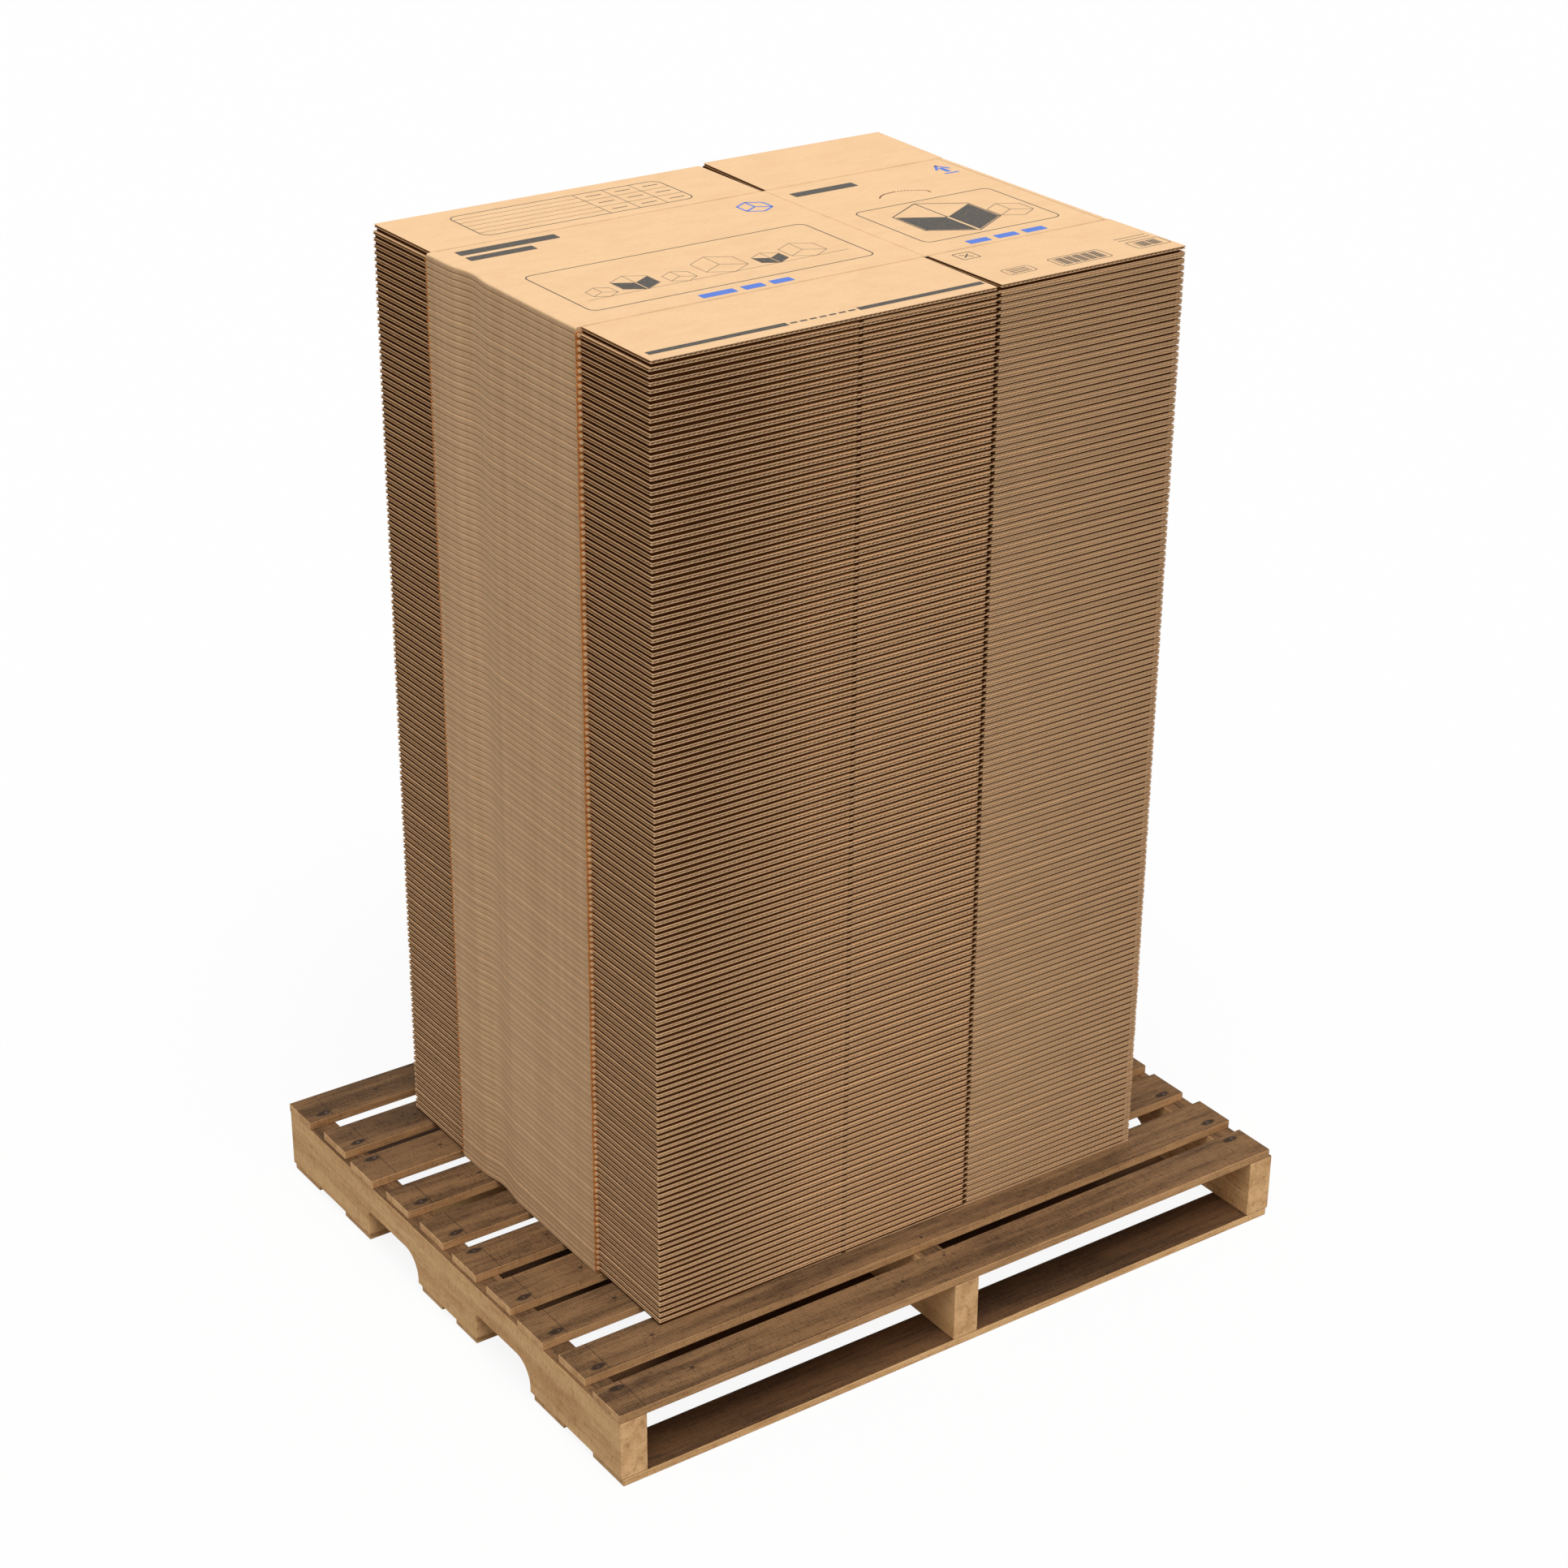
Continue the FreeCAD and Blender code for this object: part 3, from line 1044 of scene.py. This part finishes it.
@dataclass
class Bundles:
    """The boxes under the top one, in the frame's bundles of ten."""

    box: Carton
    finishes: Finishes
    count: int = 149
    each: int = 10
    drift: float = 0.35
    seam: float = 0.08

    def level(self) -> bpy.types.Mesh:
        """Build one box as a mesh that the bundles repeat.

        Returns:
            The mesh, from z = 0, in millimetres.
        """
        shape, box = Shape(), self.box
        half = box.slot / 2
        slot_left, slot_right = box.lower_slot - half, box.lower_slot + half
        # The right-hand flaps: pale liners, and a lighter painted shade behind their flutes
        pale = {"core_slot": Skin.PALE_SHADED_INSIDE, "liner_slot": Skin.PALE_LINER}
        for end in End:
            for flap in (
                    Flap(box.left, box.upper_slot - half, Sheet.UPPER, end),
                    Flap(box.upper_slot + half, box.right, Sheet.UPPER, end, **pale),
                    Flap(box.left + box.left_setback, slot_left, Sheet.LOWER, end, 2.4, 1.3, thick=2.7),
                    Flap(slot_right, box.upper_slot, Sheet.LOWER, end, 0.9, 0.9, thick=2.5),
                    Flap(box.upper_slot, box.right, Sheet.LOWER, end, 0.4, thick=3.7, thin_end=0.66, **pale)):
                flap.build(shape, box)
            # Dark slabs of painted shade in the gaps between the sheets
            for start, stop in (
                    ((box.left + 2.6, 1.9, self.seam), (-400.0, 1.1, self.seam)),
                    ((-400.0, 1.1, self.seam), (-190.0, 0.8, 2.5)),
                    ((-190.0, 0.8, 2.5), (slot_left, 0.8, 2.5)),
                    ((slot_left, 2.6, self.seam), (slot_right, 2.6, self.seam)),
                    ((slot_right, 0.8, 2.3), (box.upper_slot, 0.8, 2.3)),
                    ((box.upper_slot, 0.7, 3.5), (box.right - 12.0, 0.7, 2.3))):
                shade_gap(shape, box, end, start, stop, Skin.SHADE)
        Folds(self.seam, box.pitch - self.seam, 2.0, Skin.FOLD_END, Skin.FOLD).build(shape, box)
        self.fold_ends(shape)
        return shape.to_mesh("level")

    def fold_ends(self, shape: Shape) -> None:
        """Add the crushed ends of the left fold, where the slot cut it off."""
        turn = Matrix.Rotation(math.radians(90), 4, "X")
        rods = ((1.2, 4.86, Skin.FOLD_END, -454.6), (2.6, 2.8, Skin.FOLD_DISC, -453.9))
        for end in End:
            for reach, radius, slot, x in rods:
                place = (x, self.box.score(end) + end.value * reach / 2, self.box.pitch - 0.6)
                paint(shape.rod(Matrix.Translation(place) @ turn, radius, reach), slot)

    def build(self) -> None:
        """Build each bundle and put it in its CAD node's place."""
        box, unit = self.box, self.level()
        chance = random.Random(5)
        finishes = self.finishes.of(*SHARED, "core_pale_shade", "gap_shade", "medium_side_shade", "liner_pale")
        for number, first in enumerate(range(0, self.count, self.each), 1):
            shape = Shape()
            last = min(first + self.each, self.count)
            for index in range(first, last):
                shift = (chance.uniform(-1, 1) * self.drift, chance.uniform(-1, 1) * self.drift)
                if index == self.count - 1:
                    shift = (0.0, 0.0)
                layer = unit.copy()
                layer.transform(Matrix.Translation((*shift, box.deck_top + index * box.pitch)))
                shape.bm.from_mesh(layer)
                bpy.data.meshes.remove(layer)
            base = box.deck_top + first * box.pitch
            top = base + (last - first) * box.pitch
            near, far = box.score(End.NEAR) + box.inner_gap, box.score(End.FAR) - box.inner_gap
            # The bundle's hidden inside is a dark block of painted shade
            shape.slab((box.inner_left, near, base + 0.2), (box.inner_right, far, top - 0.2), Skin.SHADED_INSIDE)
            shape.dress(f"flat_boxes_{number:02d}", finishes, Slot.EDGES, [f"bundle_{number:02d}"], False)
        bpy.data.meshes.remove(unit)


@dataclass
class TopBox:
    """The uppermost box, seen whole."""

    box: Carton
    finishes: Finishes
    level: int = 149
    inset: float = 2.4
    near_lift: float = 1.8
    far_lift: float = 3.4
    cover: float = 1.2

    @property
    def base(self) -> float:
        """Underside of the box."""
        return self.box.deck_top + self.level * self.box.pitch

    @property
    def top(self) -> float:
        """Upper face of the box."""
        return self.base + self.box.pitch

    def build(self) -> None:
        """Build the box and put it in its CAD node's place."""
        shape, box = Shape(), self.box
        half = box.slot / 2
        slot_left, slot_right = box.lower_slot - half, box.lower_slot + half
        seen = {"crushed": True, "top_slot": TopSkin.KRAFT}
        for end, lift in ((End.NEAR, self.near_lift), (End.FAR, self.far_lift)):
            for flap in (
                    Flap(box.left + self.inset, box.upper_slot - half, Sheet.UPPER, end, **seen),
                    Flap(box.upper_slot + half, box.right, Sheet.UPPER, end, lift=lift, **seen),
                    Flap(box.left + box.left_setback, slot_left, Sheet.LOWER, end, 4.0, 1.3, thick=2.7),
                    Flap(slot_right, box.upper_slot, Sheet.LOWER, end, 0.6, 0.6, thick=2.5),
                    Flap(box.upper_slot, box.right, Sheet.LOWER, end, 0.6, thick=2.7)):
                flap.build(shape, box)
            # Dark slabs of painted shade in the gaps between the sheets
            for start, stop, rise in (
                    ((box.left + 5.0, 3.6, 0.3), (-400.0, 2.6, 0.3), 0.0),
                    ((-400.0, 2.6, 0.3), (-190.0, 1.0, 2.5), 0.0),
                    ((-190.0, 1.0, 2.5), (box.upper_slot, 0.9, 2.3), 0.0),
                    ((box.upper_slot, 3.0, 2.6), (box.right - 9, 3.0, 2.6), lift)):
                shade_gap(shape, box, end, start, stop, TopSkin.SHADE, rise)
        self.panels(shape)
        Folds(0.1, box.pitch, 4.4, Skin.FOLD, TopSkin.KRAFT, steps=5).build(shape, box)
        bmesh.ops.translate(shape.bm, verts=shape.bm.verts[:], vec=(0, 0, self.base))
        finishes = self.finishes.of(*SHARED, "kraft_top", "score_band", "medium_side_shade", "gap_shade")
        shape.dress("top_flat_box", finishes, Slot.BOARD, ["top_box"])

    def panels(self, shape: Shape) -> None:
        """Add the long and the short panel between the score lines, and the creases round them."""
        box = self.box
        near, far = box.score(End.NEAR), box.score(End.FAR)
        low = box.pitch - self.cover
        # The box's hidden inside is a dark block of painted shade
        shape.slab((box.inner_left, near + box.inner_gap, 0.3), (box.inner_right, far - box.inner_gap, low),
                   Skin.SHADED_INSIDE)
        for x0, x1, side in ((box.inner_left, box.upper_slot, box.upper_slot - 1.7),
                             (box.upper_slot, box.inner_right - 0.9, box.upper_slot + 1.2)):
            made = shape.slab((x0, near, low), (x1, far, box.pitch), TopSkin.KRAFT)
            for y in (near + box.crease_band, far - box.crease_band):
                made = shape.cut(made, (0, y, 0), (0, 1, 0))
            made = shape.cut(made, (side, 0, 0), (1, 0, 0))
            for vert in made:
                at_score = abs(vert.co.y - near) < TOUCH or abs(vert.co.y - far) < TOUCH
                at_crease = abs(vert.co.x - box.upper_slot) < TOUCH
                if abs(vert.co.z - box.pitch) < TOUCH and (at_score or at_crease):
                    vert.co.z -= box.crease
            for face in faces_of(made):
                middle = face.calc_center_median()
                at_score = min(abs(middle.y - near), abs(middle.y - far)) < box.band_half
                at_crease = abs(middle.x - box.upper_slot) < 1.0
                if middle.z > box.pitch - box.band_depth and (at_score or at_crease):
                    face.material_index = TopSkin.SCORE


# Print


@dataclass
class Print:
    """Plain generic print on the top box, as thin films of ink."""

    box: Carton
    finishes: Finishes
    top: float
    film: float = 0.12
    lift: float = 0.04
    flap_lift: float = 1.8
    shape: Shape = field(default_factory=Shape)

    def rect(self, low: tuple, high: tuple, ink: int = Ink.DARK, radius: float = 0.0) -> None:
        """Print a filled rectangle."""
        face = self.shape.flat_face(low, high, self.top + self.lift, radius)
        self.shape.raise_faces([face], self.film, ink)

    def outline(self, low: tuple, high: tuple, radius: float, line: float) -> None:
        """Print a rounded frame of one line."""
        face = self.shape.flat_face(low, high, self.top + self.lift, radius)
        ring = bmesh.ops.inset_region(self.shape.bm, faces=[face], thickness=line, use_boundary=True)["faces"]
        bmesh.ops.delete(self.shape.bm, geom=[face], context="FACES")
        self.shape.raise_faces([part for part in ring if part.is_valid], self.film, Ink.DARK)

    def stroke(self, start: tuple, end: tuple, line: float, ink: int = Ink.DARK) -> None:
        """Print a straight line."""
        a, b = Vector((*start, 0)), Vector((*end, 0))
        run = b - a
        middle = (a + b) / 2 + Vector((0, 0, self.top + self.lift + self.film / 2))
        turn = Matrix.Rotation(math.atan2(run.y, run.x), 4, "Z")
        matrix = Matrix.Translation(middle) @ turn @ Matrix.Diagonal((run.length, line, self.film, 1))
        paint(bmesh.ops.create_cube(self.shape.bm, size=1.0, matrix=matrix)["verts"], ink)

    def bars(self, spans: tuple, low: float, high: float, ink: int = Ink.DARK, radius: float = 0.0) -> None:
        """Print a row of bars, whose spans are their first and last x."""
        for first, last in spans:
            self.rect((first, low), (last, high), ink, radius)

    def carton(self, centre: tuple, size: float, line: float, ink: int = Ink.DARK,
               filled: bool = False) -> None:
        """Print a small drawing of a closed box, seen from a corner."""
        points = []
        for index in range(6):
            angle = math.radians(30 + 60 * index)
            points.append((centre[0] + size * math.cos(angle), centre[1] + size * math.sin(angle)))
        if filled:
            for first in (2, 4):
                corners = [centre, *(points[(first + step) % 6] for step in range(3))]
                verts = [self.shape.bm.verts.new((x, y, self.top + self.lift)) for x, y in corners]
                face = self.shape.bm.faces.new(verts)
                bmesh.ops.scale(self.shape.bm, verts=verts, vec=(0.93, 0.93, 1),
                                space=Matrix.Translation(-face.calc_center_median()))
                self.shape.raise_faces([face], self.film, ink)
        for index in range(6):
            self.stroke(points[index], points[(index + 1) % 6], line, ink)
        for index in (1, 3, 5):
            self.stroke(centre, points[index], line, ink)

    def build(self) -> None:
        """Print each mark of the top box."""
        self.contents_table()
        self.rect((-424, 166), (-264, 186), radius=2)
        self.rect((-424, 138), (-318, 156), radius=2)
        self.carton((49, 143), 26, 3.2, Ink.BLUE)
        self.scene_frame()
        self.bars(((-252, -196), (-184, -150), (-138, -104)), -176, -160, Ink.BLUE, 2)
        self.bars(((-438, -222), (-108, 99)), -331, -319.5)
        dashes = [-217 + index * 15.5 for index in range(7)]
        self.bars(tuple((x, x + 11) for x in dashes), -327.5, -323)
        self.short_panel()
        self.shape.dress("top_print", self.finishes.of("ink_dark", "ink_blue", "cut_line"), Slot.BOARD, [])

    def contents_table(self) -> None:
        """Print the ruled table on the far long flap."""
        low, high = (-350, 229), (6, 339)
        self.outline(low, high, 16, 1.8)
        for x in (-140, -90, -43):
            self.stroke((x, low[1]), (x, high[1]), 1.1)
        for index in range(1, 6):
            y = low[1] + index * (high[1] - low[1]) / 6
            self.stroke((low[0], y), (-140, y), 0.8)
        for y in (265, 302):
            self.stroke((-140, y), (high[0], y), 0.9)
        for y in (247, 284, 320):
            self.bars(tuple((x, x + 26) for x in (-128, -78, -30)), y - 1.2, y + 1.2)

    def scene_frame(self) -> None:
        """Print the long frame with a row of plain drawn boxes on a ground line."""
        self.outline((-405, -143), (58, 38), 14, 1.9)
        self.stroke((-385, -100), (40, -100), 0.7)
        drawn = ((-350, 22, False), (-290, 34, True), (-225, 24, False), (-150, 40, False), (-75, 26, True),
                 (-15, 34, False))
        for x, size, filled in drawn:
            self.carton((x, -100 + size * 0.98), size, 0.8, filled=filled)

    def short_panel(self) -> None:
        """Print the marks of the short panel and its near flap."""
        self.rect((128, 150), (240, 170), radius=2)
        self.outline((146, -139), (392, 38), 14, 1.9)
        self.carton((250, -50), 78, 2.0, filled=True)
        self.carton((350, -70), 34, 1.0)
        self.bars(tuple((x, x + 38) for x in (196, 246, 296)), -176, -160, Ink.BLUE, 2)
        self.rect((395, 138), (403, 160), Ink.BLUE)
        self.stroke((387, 152), (400, 174), 4.5, Ink.BLUE)
        self.stroke((411, 152), (398, 174), 4.5, Ink.BLUE)
        self.rect((386, 129), (412, 133), Ink.BLUE)
        self.near_flap()
        self.hand_hole()

    def near_flap(self) -> None:
        """Print the marks of the near short flap, which is lifted at its edge."""
        flap = Print(self.box, self.finishes, self.top)
        flap.outline((140, -232), (171, -202), 3, 1.5)
        flap.stroke((148, -224), (163, -210), 2.0)
        flap.stroke((148, -210), (163, -224), 2.0)
        flap.outline((148, -325), (197, -298), 7, 1.1)
        for y in (-318, -311.5, -305):
            flap.rect((156, y - 1.1), (189, y + 1.1))
        flap.outline((233, -333), (323, -294), 5, 1.3)
        for index in range(16):
            x = 240 + index * 4.9
            flap.rect((x, -328), (x + (3.4 if index % 3 else 1.6), -299))
        flap.outline((374, -327), (434, -294), 5, 1.3)
        for index in range(9):
            x = 384 + index * 4.6
            flap.rect((x, -321), (x + (3.0 if index % 4 else 1.6), -300))
        for y in (-284, -274):
            flap.rect((372, y - 0.7), (428, y + 0.7))
        score, edge = self.box.score(End.NEAR), self.box.edge(End.NEAR)
        for vert in flap.shape.bm.verts:
            vert.co.x = min(vert.co.x, self.box.right - 2)
            vert.co.z += self.flap_lift * (vert.co.y - score) / (edge - score)
        held = flap.shape.to_mesh("near_flap_print", False)
        self.shape.bm.from_mesh(held)
        bpy.data.meshes.remove(held)

    def hand_hole(self) -> None:
        """Print the cut line of the hand hole, whose middle is perforated."""
        points = [(225, 78), (233, 86), (244, 92), (262.6, 94.4), (279, 91.5), (292.7, 84.9), (302, 79.5),
                  (308.7, 74.4), (308.4, 64.2)]
        for index, (start, end) in enumerate(zip(points, points[1:])):
            start, run = Vector(start), Vector(end) - Vector(start)
            dashes, filled = (3, 0.6) if 3 <= index <= 6 else (1, 1)
            for part in range(dashes):
                self.stroke(start + run * part / dashes, start + run * (part + filled) / dashes, 2.1, Ink.CUT)


# Pallet


@dataclass
class Pallet:
    """The wooden pallet: each CAD board with its arrises broken and its own grain."""

    frame: dict
    finishes: Finishes
    arris: float = 1.1
    nail_radius: float = 3.0
    nail_foot: float = 2.6
    nail_depth: float = 2.2
    nail_sunk: float = 0.9
    nail_rim: float = 0.4
    turned: tuple = ("deck_board_01", "deck_board_05", "deck_board_08")

    def build(self) -> None:
        """Dress every board of the pallet."""
        names = sorted(name for name in self.frame["nodes"] if "board" in name or "stringer" in name)
        for number, name in enumerate(names):
            self.board(name, number)
        self.nails()

    def board(self, name: str, number: int) -> None:
        """Make one board from its CAD node's own shape.

        Args:
            name: The node's name.
            number: Its place in the row, which sets its own grain.
        """
        low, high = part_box(name)
        shape = Shape()
        bm = shape.bm
        bm.from_mesh(self.frame["nodes"][name].data)
        bmesh.ops.remove_doubles(bm, verts=bm.verts[:], dist=0.00001)
        bmesh.ops.dissolve_limit(bm, angle_limit=math.radians(1), verts=bm.verts[:], edges=bm.edges[:])
        bmesh.ops.scale(bm, verts=bm.verts[:], vec=(1 / MM, 1 / MM, 1 / MM))
        shape.soften([line for line in bm.edges if line.calc_face_angle(0) > math.radians(40)], self.arris, 2)
        along_x = high.x - low.x > high.y - low.y
        place = bm.verts.layers.float_vector.new("board_place")
        seed = bm.verts.layers.float_vector.new("board_seed")
        knot = bm.verts.layers.float_vector.new("board_knot")
        chance = random.Random(40 + number)
        offset = Vector([chance.uniform(0, 9) for _ in range(3)])
        second = 0.52 if name == "deck_board_01" else chance.choice((-1.0, -1.0, 1.02))
        knots = Vector((0.14 + chance.uniform(-0.008, 0.008), 0.036 + chance.uniform(-0.004, 0.004), second))
        if "deck" not in name:
            knots = Vector((-1.0, 0.0, -1.0))
        for vert in bm.verts:
            local = vert.co * MM - low
            if name in self.turned:
                local.y = high.y - low.y - local.y
            vert[place] = local if along_x else Vector((local.y, local.x, local.z))
            vert[seed] = offset
            vert[knot] = knots
        bm.normal_update()
        for face in bm.faces:
            if face.normal.z > 0.7:
                face.material_index = Cut.TOP
            elif abs(face.normal.x if along_x else face.normal.y) > 0.7:
                face.material_index = Cut.END
        side = "wood_edge" if "deck" in name else "wood_side"
        # Bottom boards' tops get the darker copy of the top wood, painted shade under the deck
        top = "wood_top_shaded" if "bottom" in name else "wood_top"
        shape.dress(f"sawn_{name}", self.finishes.of(side, top, "wood_end"), Slot.WOOD, [name])

    def nails(self) -> None:
        """Sink a short nail head into the top of each deck board, over each stringer."""
        shape = Shape()
        for number in range(1, 11):
            name = f"deck_board_{number:02d}"
            low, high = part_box(name)
            side = high.y - NAIL_ASIDE if name in self.turned else low.y + NAIL_ASIDE
            for x in (-NAIL_LINE, 0.0, NAIL_LINE):
                place = Matrix.Translation((x / MM, side / MM, high.z / MM - self.nail_sunk))
                made = shape.rod(place, self.nail_radius, self.nail_depth, self.nail_foot)
                rim = {line for vert in made for line in vert.link_edges if line.calc_face_angle(0) > 1
                       and vert.co.z > high.z / MM}
                shape.soften(list(rim), self.nail_rim)
        shape.dress("deck_nails", self.finishes.of("nail_steel"), Slot.WOOD, [])


# Studio


@dataclass
class Studio:
    """Floor, light and camera, which aren't part of the load."""

    place: tuple = (-2.5429, -3.6171, 2.9032)
    yaw: float = 35.20
    pitch: float = -26.137
    roll: float = 0.496
    lens: float = 74.44
    sky: float = 0.30
    key: float = 2.35
    bounce: float = 0.34

    def build(self) -> None:
        """Set the floor, the light and the camera."""
        self.floor()
        self.light()
        self.camera()
        bpy.context.scene.view_settings.view_transform = "Standard"

    def seen_mask(self, tree: Tree) -> object:
        """Return 1 for a ray from the camera, or one that metal or glass sends on."""
        path = tree.add("LightPath")
        seen = tree.math("MAXIMUM", path.outputs["Is Camera Ray"], path.outputs["Is Glossy Ray"])
        return tree.math("MAXIMUM", seen, path.outputs["Is Transmission Ray"])

    def floor(self) -> None:
        """Lay a plain floor that shows white, with the load's soft shadow."""
        shape = Shape()
        shape.flat_face((-40, -40), (40, 40), -0.0005)
        mesh = shape.to_mesh("floor", False)
        linked("floor", mesh)
        material = bpy.data.materials.new("floor")
        material.use_nodes = True
        tree = Tree(material.node_tree)
        material.node_tree.nodes.remove(material.node_tree.nodes["Principled BSDF"])
        pale = tree.add("BsdfDiffuse", Color=(0.95, 0.95, 0.95, 1))
        dim = tree.add("BsdfDiffuse", Color=(self.bounce, self.bounce, self.bounce, 1))
        glow = tree.add("Emission", Color=(1, 1, 1, 1), Strength=1.0)
        shown = tree.add("MixShader", Fac=0.9, i1=pale.outputs[0], i2=glow.outputs[0])
        both = tree.add("MixShader", Fac=self.seen_mask(tree), i1=dim.outputs[0], i2=shown.outputs[0])
        tree.feed(material.node_tree.nodes["Material Output"].inputs["Surface"], both.outputs[0])
        mesh.materials.append(material)

    def light(self) -> None:
        """Set a soft key light above and an even sky."""
        lamp = bpy.data.lights.new("key", "SUN")
        lamp.energy = self.key
        lamp.angle = math.radians(40)
        linked("key", lamp).rotation_euler = (math.radians(21), math.radians(-9), 0)
        world = bpy.data.worlds.new("studio")
        world.use_nodes = True
        bpy.context.scene.world = world
        tree = Tree(world.node_tree)
        back = world.node_tree.nodes["Background"]
        back.inputs["Color"].default_value = (1, 1, 1, 1)
        seen = self.seen_mask(tree)
        level = tree.plus(tree.times(seen, 1 - self.sky), self.sky)
        tree.feed(back.inputs["Strength"], level)

    def camera(self) -> None:
        """Put the camera where the photograph was taken from."""
        yaw, pitch, roll = (math.radians(value) for value in (self.yaw, self.pitch, self.roll))
        forward = Vector((math.sin(yaw) * math.cos(pitch), math.cos(yaw) * math.cos(pitch), math.sin(pitch)))
        right = Vector((math.cos(yaw), -math.sin(yaw), 0))
        up = right.cross(forward)
        side = right * math.cos(roll) + up * math.sin(roll)
        top = up * math.cos(roll) - right * math.sin(roll)
        data = bpy.data.cameras.new("camera")
        data.sensor_width = 36
        data.lens = self.lens
        data.clip_start, data.clip_end = 0.05, 200
        camera = linked("camera", data)
        turn = Matrix((side, top, -forward)).transposed().to_4x4()
        camera.matrix_world = Matrix.Translation(self.place) @ turn
        bpy.context.scene.camera = camera


def main() -> None:
    """Build the load around its frame, in order, and note its size."""
    logging.basicConfig(level=logging.INFO, format="%(message)s")
    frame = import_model()
    finishes = Finishes()
    finishes.build()
    box = Carton()
    Studio().build()
    Pallet(frame, finishes).build()
    Bundles(box, finishes).build()
    top = TopBox(box, finishes)
    top.build()
    Print(box, finishes, top.top).build()


if __name__ == "__main__":
    main()
